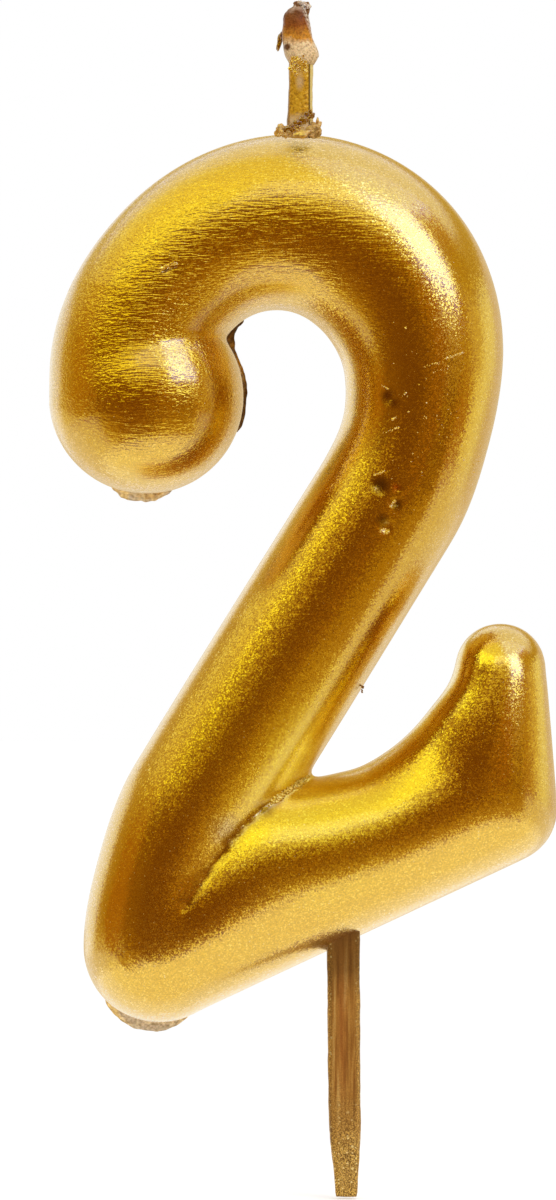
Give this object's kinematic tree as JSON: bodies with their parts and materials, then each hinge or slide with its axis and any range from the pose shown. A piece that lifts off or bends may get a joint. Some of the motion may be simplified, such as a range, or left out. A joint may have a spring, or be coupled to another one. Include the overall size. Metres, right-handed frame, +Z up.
{
  "type": "number candle",
  "caption": "Cake candle moulded as the digit two, domed in front and flat behind, with a plaited waxed wick out of its crown and a flat wooden pick below that holds it up in a cake.",
  "frame": {"origin": "middle of the pick where it enters the cake, level with the lowest wax", "axes": "+Z up along the pick, +X to the right of the digit as it is read, +Y out of the flat back, so the domed front faces -Y"},
  "size_m": [0.0396, 0.0112, 0.0929],
  "materials": {
    "gilded_wax": "paraffin wax under a sprayed metallic gold lacquer with fine flake",
    "gilded_wood": "plain sawn wood with a thin uneven coat of the gold lacquer",
    "cotton": "wax-soaked plaited cotton",
    "bare_wax": "bare translucent paraffin",
    "flaked_gold": "crumbled wax with thick gold lacquer"
  },
  "bodies": {
    "root": {"wax_digit": "gilded_wax", "pick": "gilded_wood", "wick_strand_1": "cotton", "wick_strand_2": "cotton", "wick_strand_3": "cotton", "wick_sleeve": "gilded_wax", "wick_tip_bead": "bare_wax", "wick_collar": "flaked_gold"}
  },
  "joints": []
}
